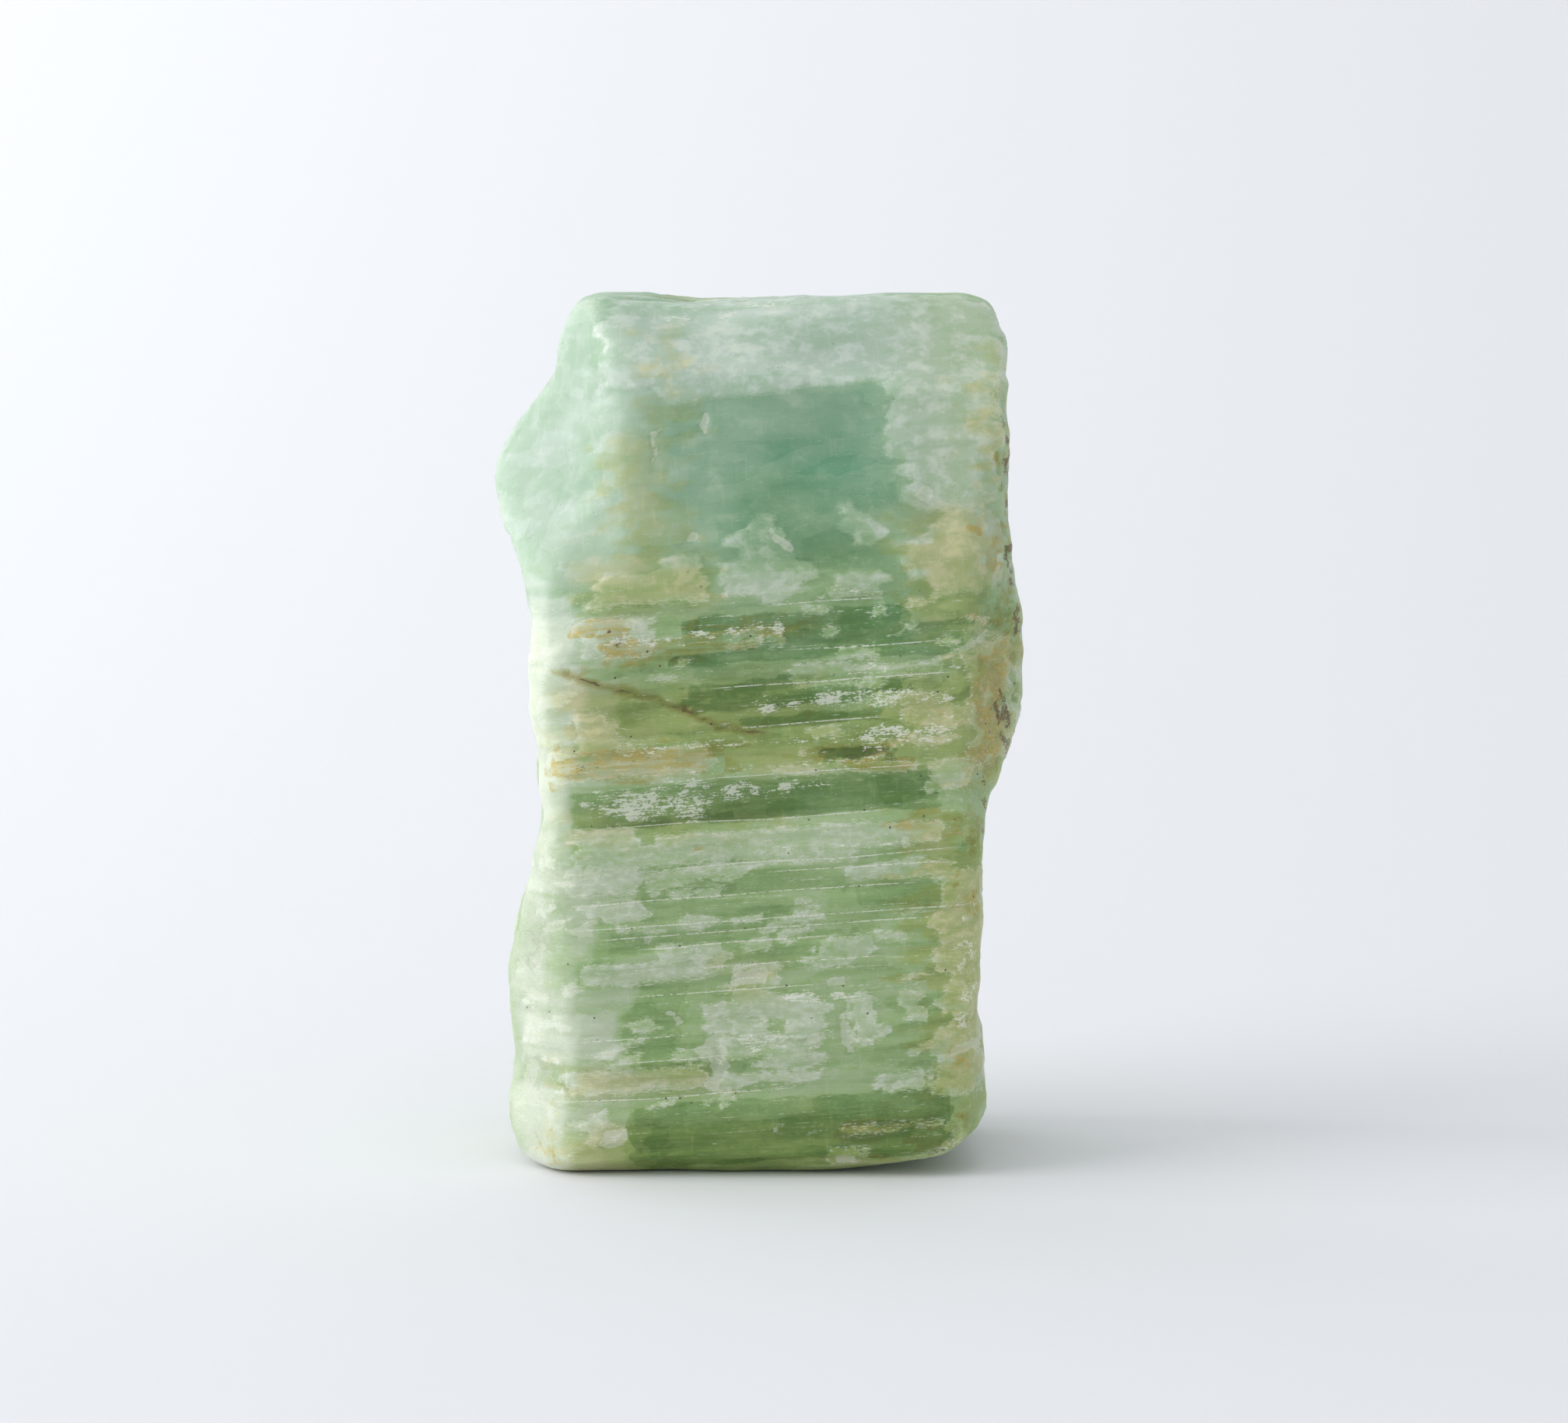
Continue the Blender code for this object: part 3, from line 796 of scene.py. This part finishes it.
    def measure_crack(self):
        """Signed mm from the open crack, and how plainly it shows."""
        right, up = self.rows[:, 0], self.rows[:, 2]
        path = np.array(CRACK_MM)
        line = np.interp(right, path[:, 0], path[:, 1]) + 0.18 * self.lumps(1.0, 77)
        shown = smoothstep(path[0, 0] - 0.4, path[0, 0] + 0.8, right)
        shown *= 1.0 - smoothstep(path[-1, 0] - 0.8, path[-1, 0] + 1.0, right)
        self.fields["crack"] = up - line
        self.fields["crack_show"] = shown * self.front

    def relief(self):
        """Height in mm that each point moves along its normal."""
        shape, fields = self.shape, self.fields
        rough = 1.0 - 0.8 * fields["polished"]
        ribs = self.lumps(1.1, 21, stretch=14.0, octaves=3)
        ribs += 0.5 * self.lumps(0.45, 22, stretch=16.0)
        height = shape.rib_depth / MM * ribs * (1.0 - self.ends) * rough
        height += shape.swell_depth / MM * self.lumps(6.0, 23, stretch=2.0)
        height += shape.fracture_depth / MM * self.lumps(2.4, 24, octaves=4) * self.ends
        height += shape.plate_height / MM * smoothstep(-0.15, 0.15, fields["veil"])
        crest = np.exp(-(((self.rows[:, 0] - CREST_RIGHT) / CREST_WIDTH) ** 2))
        height += CREST_RISE * crest * smoothstep(*CREST_UP_MM, self.rows[:, 2])
        height -= shape.chip_depth / MM * smoothstep(-0.15, 0.2, fields["chip"])
        crack = np.exp(-((fields["crack"] / CRACK_WIDTH) ** 2))
        height -= shape.crack_depth / MM * fields["crack_show"] * crack
        return height + self.step * rough

    def carve(self):
        """Moves the points, and keeps them inside the CAD solid's box and off its foot."""
        free = smoothstep(0.0, FOOT_FADE, self.rows[:, 2])
        moved = self.rows + self.normals * (self.relief() * free)[:, None]
        moved = np.clip(moved * MM, np.array(CAD_LOW), np.array(CAD_HIGH))
        self.mesh.vertices.foreach_set("co", moved.astype(np.float32).ravel())
        self.mesh.update()

    def store(self):
        """Writes the fields to the mesh, where the material reads them."""
        for name, values in self.fields.items():
            layer = self.mesh.attributes.new(name, "FLOAT", "POINT")
            layer.data.foreach_set("value", values.astype(np.float32))


# How a Map Range node runs here. Its inputs are the value, from what and to what it runs, and what that
# gives at either end, or else 0 and 1.
SMOOTH = {"interpolation_type": "SMOOTHSTEP"}


def add(tree, kind, inputs=(), out=None, **settings):
    """Adds a node with its settings and links, and returns the output asked for, or else its first.

    Inputs are given by name, or else in the node's own order.
    """
    node = tree.nodes.new("ShaderNode" + kind)
    for name, value in settings.items():
        setattr(node, name, value)
    sockets = [socket for socket in node.inputs if socket.enabled]
    if isinstance(inputs, dict):
        sockets = [next(s for s in sockets if s.name == name) for name in inputs]
        inputs = inputs.values()
    for socket, value in zip(sockets, inputs):
        if isinstance(value, bpy.types.NodeSocket):
            tree.links.new(value, socket)
        else:
            socket.default_value = value
    return node.outputs[out] if out else next((s for s in node.outputs if s.enabled), None)


def product(tree, *factors):
    result = factors[0]
    for factor in factors[1:]:
        result = add(tree, "Math", (result, factor), operation="MULTIPLY")
    return result


def total(tree, *terms):
    """The sum of the values in (value, weight) pairs, each times its weight."""
    result = 0.0
    for value, weight in terms:
        result = add(tree, "Math", (value, weight, result), operation="MULTIPLY_ADD")
    return result


def patch(tree, inside, pattern, raggedness, softness, strength=1.0):
    """How much of a plate shows: its edge is moved by a pattern and is that soft, both in mm."""
    edge = total(tree, (pattern, raggedness), (inside, 1.0), (0.5, -raggedness))
    edge = add(tree, "Math", (edge, softness), operation="DIVIDE")
    return add(tree, "MapRange", (edge, -1.0, 1.0, 0.0, strength), **SMOOTH)


# What the crumbs' scatter is mixed from: fine crumbs, drawn out fibres, grains, and clusters
CRUMB_MIX = {"crumb": 0.6, "fibre": 0.4, "grain": 0.4, "mottle": 0.6}


def crumbs(tree, inside, pattern, least, most, strength=1.0):
    """White or brown crumbs in clusters: denser inside a plate, none far outside it."""
    place = add(tree, "MapRange", (inside, -0.7, 1.1, least, most), **SMOOTH)
    parts = [(pattern[name], weight) for name, weight in CRUMB_MIX.items()]
    edge = total(tree, *parts, (place, 1.0))
    return add(tree, "MapRange", (edge, 1.2, 1.24, 0.0, strength), **SMOOTH)


# Lines along the partings and the open crack: which they follow, between what distances from it they fade,
# and their strength. Distances are in mm, and the crack's has noise of about 0.5 in it.
LINES = {
    "white edge": ("seam", 0.02, 0.06, 1.0),
    "dirt": ("seam", 0.05, 0.3, 1.0),
    "crack": ("crack", 0.49, 0.56, 0.75),
    "stain": ("crack", 0.6, 1.1, 0.7),
}

# Between what values of the crumb noise each fine mark sets in
CRUMBLED = {
    "white edge": (0.42, 0.5),
    "dirt": (0.62, 0.65),
    "hair": (0.5, 0.6),
    "skin": (0.68, 0.72),
    "worn": (0.4, 0.6),
    "rim": (0.5, 0.58),
}


def tone_ramp(tree, tone, colours):
    """Colours spread evenly from the deepest tone to the milkiest."""
    output = add(tree, "ValToRGB", {"Fac": tone})
    stops = output.node.color_ramp.elements
    while len(stops) < len(colours):
        stops.new(0.5)
    for number, shade in enumerate(colours):
        stops[number].position = number / (len(colours) - 1)
        stops[number].color = (*shade, 1.0)
    return output


def aquamarine_material(colours):
    """Beryl clouded by countless fluid-filled tubes, with a waxy skin from tumbling.

    Light sinks in and comes back soft and green. Clear places look deep, milky plates and bruises look
    white, and iron stain follows the partings.
    """
    material = bpy.data.materials.new("tumbled cloudy aquamarine")
    material.use_nodes = True
    tree = material.node_tree
    tree.nodes.clear()
    where = add(tree, "TexCoord", out="Object")
    turn = {"Vector": where, "Rotation": (0.0, C_AXIS_RISE, 0.0), "Scale": (1 / MM,) * 3}
    crystal = add(tree, "Mapping", turn)
    field = {name: add(tree, "Attribute", out="Fac", attribute_name=name) for name in FIELDS}
    pattern = {}
    for name, (along, across, octaves, roughness) in PATTERNS_MM.items():
        squeezed = add(tree, "Mapping", {"Vector": crystal, "Scale": (1 / along, 1 / across, 1 / across)})
        settings = {"Vector": squeezed, "Scale": 1.0, "Detail": octaves, "Roughness": roughness}
        pattern[name] = add(tree, "TexNoise", settings)
    for name in ("fuzz", "streak"):
        blend = {"Factor": field["polished"], "A": pattern[name], "B": pattern["haze"]}
        pattern[name] = add(tree, "Mix", blend, data_type="FLOAT")
    rough_skin = add(tree, "MapRange", (field["polished"], 0.0, 1.0, 1.0, 0.3), **SMOOTH)

    moved = total(tree, (pattern["crumb"], 0.5), (pattern["mottle"], 0.3))
    ragged = add(tree, "VectorMath", (crystal, moved), operation="ADD")
    blocks = {}
    for channel, finer in (("Red", 1.0), ("Green", SMALL_BLOCKS)):
        scale = tuple(finer / size for size in BLOCK_MM)
        squeezed = add(tree, "Mapping", {"Vector": ragged, "Scale": scale})
        cells = {"Vector": squeezed, "Scale": 1.0, "Randomness": 0.8}
        shade = add(tree, "TexVoronoi", cells, out="Color", distance="CHEBYCHEV")
        blocks[channel] = add(tree, "SeparateColor", {"Color": shade}, out=channel)
    pits = add(tree, "TexVoronoi", {"Vector": crystal, "Scale": 1 / PIT_CELL_MM}, out="Distance")
    lot = add(tree, "SeparateColor", {"Color": pits.node.outputs["Color"]}, out="Red")

    clear_edge = add(tree, "MapRange", (field["polished"], 0.0, 1.0, 0.1, 2.0), **SMOOTH)
    veil_edge = add(tree, "MapRange", (field["polished"], 0.0, 1.0, 0.08, 0.3), **SMOOTH)
    veil = patch(tree, field["veil"], pattern["fuzz"], 0.8, veil_edge)
    tone = total(
        tree,
        (pattern["cloud"], 0.4),
        (blocks["Red"], 0.12),
        (blocks["Green"], 0.06),
        (pattern["streak"], 0.14),
        (pattern["crumb"], 0.12),
        (add(tree, "MapRange", (pattern["basal"], 0.6, 0.72), **SMOOTH), 0.05),
        # Painted light: the pale field lifts the tone towards the painted glow on the front's lit left
        (field["pale"], 0.62),
        (patch(tree, field["deep"], pattern["fuzz"], 0.6, clear_edge), -0.2),
        (patch(tree, field["green"], pattern["fuzz"], 0.8, clear_edge), -0.1),
        (veil, 0.14),
        (product(tree, veil, add(tree, "MapRange", (pattern["fuzz"], 0.44, 0.6), **SMOOTH)), 0.14),
        (add(tree, "MapRange", (pattern["fuzz"], 0.52, 0.66), **SMOOTH), 0.08),
        (1.0, -0.06),
    )
    green = tone_ramp(tree, tone, (colours.deep, colours.body, colours.milk, colours.glow))
    blue = tone_ramp(tree, tone, (colours.deep_cool, colours.cool, colours.milk_cool, colours.glow))
    surface = add(tree, "Mix", {"Factor": field["cool"], "A": green, "B": blue}, data_type="RGBA")

    off = {}
    for name in ("seam", "crack", "veil"):
        off[name] = add(tree, "Math", (field[name],), operation="ABSOLUTE")
    off["crack"] = total(tree, (pattern["dash"], 0.8), (pattern["crumb"], 0.3), (off["crack"], 1.0))
    lines = {}
    for name, (path, start, end, strength) in LINES.items():
        line = add(tree, "MapRange", (off[path], start, end, strength, 0.0), **SMOOTH)
        lines[name] = product(tree, line, field[path + "_show"])
    crumbled = {}
    for name, limits in CRUMBLED.items():
        crumbled[name] = add(tree, "MapRange", (pattern["crumb"], *limits), **SMOOTH)
    hair = add(tree, "MapRange", (pattern["line"], 0.64, 0.7), **SMOOTH)
    hair = product(tree, hair, crumbled["hair"], rough_skin)
    elsewhere = {**pattern, "crumb": pattern["fuzz"], "mottle": pattern["dash"]}
    uneven = total(tree, (pattern["streak"], 0.5), (pattern["fuzz"], 0.5))
    rusty = add(tree, "MapRange", (uneven, 0.4, 0.6, 0.35, 1.0), **SMOOTH)
    pit_place = add(tree, "MapRange", (total(tree, (lot, 1.0), (lines["dirt"], 0.3)), 0.88, 0.9), **SMOOTH)
    pit = add(tree, "MapRange", (pits, 0.08, 0.13, 0.85, 0.0), **SMOOTH)
    pit = product(tree, pit, pit_place, rough_skin)
    worn = add(tree, "MapRange", (field["edge"], 0.12, 0.3), **SMOOTH)
    worn = product(tree, worn, crumbled["worn"], 0.6)
    rim = add(tree, "MapRange", (off["veil"], 0.0, 0.35, 1.0, 0.0), **SMOOTH)
    rim = product(tree, rim, crumbled["rim"], rough_skin)

    # Painted over the tinted stone one after another: how much of each, and its colour
    layers = (
        (product(tree, rim, 0.45), colours.frost),
        # Crumbs in the iron stain, partly painted shade along the right edge
        (crumbs(tree, field["rust"], pattern, -0.4, 0.12, 0.6), colours.earth),
        (crumbs(tree, field["rust"], elsewhere, -0.4, 0.12, 0.6), colours.milk),
        # Earth in cracks, and painted shade in the dark line along the right silhouette
        (crumbs(tree, field["earth"], pattern, -0.4, 0.7, 0.85), colours.earth),
        (product(tree, hair, 0.6), colours.frost),
        (product(tree, crumbled["skin"], rough_skin, 0.7), colours.frost),
        (crumbs(tree, field["frost"], pattern, -0.25, 0.19, 0.75), colours.frost),
        (patch(tree, field["chip"], pattern["fuzz"], 0.6, 0.06, 0.5), colours.frost),
        (crumbs(tree, field["chip"], pattern, -0.4, 0.4, 0.8), colours.frost),
        (product(tree, lines["white edge"], crumbled["white edge"], 0.8), colours.frost),
        (product(tree, lines["dirt"], crumbled["dirt"], 0.8), colours.pore),
        (lines["crack"], colours.earth),
        (worn, colours.frost),
        (pit, colours.pore),
    )

    # Laid over the stone first, as glass would: how much of each, and its colour
    tints = (
        (patch(tree, field["warm"], pattern["haze"], 1.6, 1.5, 0.75), colours.olive),
        # Iron stain tint, partly painted shade along the right edge
        (product(tree, patch(tree, field["rust"], pattern["fuzz"], 1.4, 0.4), rusty), colours.rust),
        (lines["stain"], colours.rust),
    )
    for blend, coats in (("MULTIPLY", tints), ("MIX", layers)):
        for amount, shade in coats:
            mixed = {"Factor": amount, "A": surface, "B": (*shade, 1.0)}
            surface = add(tree, "Mix", mixed, data_type="RGBA", blend_type=blend)

    roughness = add(tree, "MapRange", (field["chip"], -0.1, 0.2, 0.36, 0.6), **SMOOTH)
    height = total(tree, (pattern["grain"], 0.5), (pattern["fibre"], 0.6), (pattern["streak"], 1.0))
    strength = product(tree, rough_skin, 0.7)
    bump = add(tree, "Bump", {"Height": height, "Strength": strength, "Distance": 0.12 * MM})
    shader = add(
        tree,
        "BsdfPrincipled",
        {
            "Base Color": surface,
            "Roughness": roughness,
            "IOR": 1.58,
            "Normal": bump,
            "Subsurface Weight": 1.0,
            "Subsurface Radius": (0.8, 1.0, 0.7),
            "Subsurface Scale": 4.0 * MM,
        },
        subsurface_method="RANDOM_WALK",
    )
    add(tree, "OutputMaterial", {"Surface": shader})
    return material


class AQUAMARINE_OT_stone(bpy.types.Operator):
    """Make the aquamarine over its CAD solid"""

    bl_idname = "aquamarine.stone"
    bl_label = "Make Stone"
    bl_options = {"REGISTER", "UNDO"}

    def execute(self, context):
        settings = context.scene.aquamarine
        stone = dense_copy(STONE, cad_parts[NODE], settings.shape)
        surface = StoneSurface(stone, settings.shape)
        surface.measure()
        surface.carve()
        surface.store()
        stone.data.materials.clear()
        stone.data.materials.append(aquamarine_material(settings.colours))
        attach(stone, "root")
        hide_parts(NODE)
        return {"FINISHED"}


# The sweep in metres: how far it reaches sideways, forwards and up, where its curve starts, its radius, and
# how many steps it takes.
SWEEP_HALF_WIDTH = 1.6
SWEEP_FRONT = -1.4
SWEEP_TOP = 1.6
CURVE_START = 0.045
CURVE_RADIUS = 0.35
CURVE_STEPS = 48


def of_kind(kind, items):
    return [item for item in items if isinstance(item, kind)]


def sweep_object(stage):
    """Paper that lies flat under the stone and curves up behind it."""
    point, line = bmesh.types.BMVert, bmesh.types.BMEdge
    bm = bmesh.new()
    ends = [bm.verts.new((side * SWEEP_HALF_WIDTH, SWEEP_FRONT, 0.0)) for side in (-1, 1)]
    edge = bm.edges.new(ends)
    floor = bmesh.ops.extrude_edge_only(bm, edges=[edge])["geom"]
    moved = of_kind(point, floor)
    bmesh.ops.translate(bm, verts=moved, vec=(0.0, CURVE_START - SWEEP_FRONT, 0.0))
    last = [edge for edge in of_kind(line, floor) if set(edge.verts) == set(moved)]
    curve = bmesh.ops.spin(
        bm,
        geom=last + moved,
        cent=(0.0, CURVE_START, CURVE_RADIUS),
        axis=(1.0, 0.0, 0.0),
        angle=math.pi / 2,
        steps=CURVE_STEPS,
    )["geom_last"]
    wall = bmesh.ops.extrude_edge_only(bm, edges=of_kind(line, curve))["geom"]
    bmesh.ops.translate(bm, verts=of_kind(point, wall), vec=(0.0, 0.0, SWEEP_TOP))
    bmesh.ops.recalc_face_normals(bm, faces=bm.faces)
    mesh = bpy.data.meshes.new("sweep")
    bm.to_mesh(mesh)
    bm.free()
    mesh.shade_smooth()
    sweep = bpy.data.objects.new("sweep", mesh)
    bpy.context.scene.collection.objects.link(sweep)
    mesh.materials.append(paper_material(stage))
    return sweep


def paper_material(stage):
    """Matte white backdrop paper: no gloss, only a soft fall of light."""
    material = bpy.data.materials.new("matte backdrop paper")
    material.use_nodes = True
    shader = material.node_tree.nodes["Principled BSDF"]
    shader.inputs["Base Color"].default_value = (*stage.sweep, 1.0)
    shader.inputs["Roughness"].default_value = 0.9
    shader.inputs["Specular IOR Level"].default_value = 0.2
    return material


# What the camera and most lights are turned to, a little right of the stone's middle.
AIM = Vector((2.05, 0.0, 31.8)) * MM

# The soft square lights in metres: name, place, size, and what each is turned to.
LIGHTS = (
    ("key", (-0.64, -0.18, 0.32), 0.6, AIM),
    ("top", (-0.05, -0.1, 0.75), 0.7, AIM),
    ("backdrop", (-0.6, 0.1, 0.3), 0.4, Vector((-0.45, 0.6, 0.3))),
)


def area_light(name, place, size, watts, aim):
    light = bpy.data.lights.new(name, "AREA")
    light.shape = "SQUARE"
    light.size = size
    light.energy = watts
    lamp = bpy.data.objects.new(name, light)
    lamp.location = place
    lamp.rotation_euler = (aim - Vector(place)).to_track_quat("-Z", "Y").to_euler()
    bpy.context.scene.collection.objects.link(lamp)


def camera_object(stage):
    camera = bpy.data.cameras.new("camera")
    camera.lens = stage.lens
    camera.sensor_width = 36.0
    camera.clip_start = 0.01
    camera.clip_end = 10.0
    holder = bpy.data.objects.new("camera", camera)
    back = Vector((0.0, -math.cos(stage.elevation), math.sin(stage.elevation)))
    holder.location = AIM + back * stage.distance
    holder.rotation_euler = (-back).to_track_quat("-Z", "Y").to_euler()
    bpy.context.scene.collection.objects.link(holder)
    return holder


class AQUAMARINE_OT_stage(bpy.types.Operator):
    """Make the sweep, the lights and the camera"""

    bl_idname = "aquamarine.stage"
    bl_label = "Make Stage"
    bl_options = {"REGISTER", "UNDO"}

    def execute(self, context):
        stage = context.scene.aquamarine.stage
        sweep_object(stage)
        for name, place, size, aim in LIGHTS:
            area_light(name, place, size, getattr(stage, f"{name}_power"), aim)
        world = bpy.data.worlds.new("studio")
        world.use_nodes = True
        background = world.node_tree.nodes["Background"]
        background.inputs["Color"].default_value = (*stage.air, 1.0)
        background.inputs["Strength"].default_value = stage.ambient
        context.scene.world = world
        context.scene.camera = camera_object(stage)
        context.scene.view_settings.view_transform = "Standard"
        return {"FINISHED"}


class AQUAMARINE_PT_sidebar(bpy.types.Panel):
    """Everything that the add-on makes"""

    bl_label = "Aquamarine"
    bl_space_type = "VIEW_3D"
    bl_region_type = "UI"
    bl_category = "Aquamarine"

    def draw(self, context):
        settings = context.scene.aquamarine
        for group in (settings.shape, settings.colours, settings.stage):
            column = self.layout.column(align=True)
            for name in type(group).__annotations__:
                column.prop(group, name)
        for operator in (AQUAMARINE_OT_stone, AQUAMARINE_OT_stage):
            self.layout.operator(operator.bl_idname)


CLASSES = (
    StoneShape,
    StoneColours,
    StudioStage,
    AquamarineSettings,
    AQUAMARINE_OT_stone,
    AQUAMARINE_OT_stage,
    AQUAMARINE_PT_sidebar,
)


def register():
    for cls in CLASSES:
        bpy.utils.register_class(cls)
    bpy.types.Scene.aquamarine = PointerProperty(type=AquamarineSettings)


def unregister():
    del bpy.types.Scene.aquamarine
    for cls in reversed(CLASSES):
        bpy.utils.unregister_class(cls)


def main():
    register()
    bpy.ops.aquamarine.stone()
    bpy.ops.aquamarine.stage()


if __name__ == "__main__":
    main()
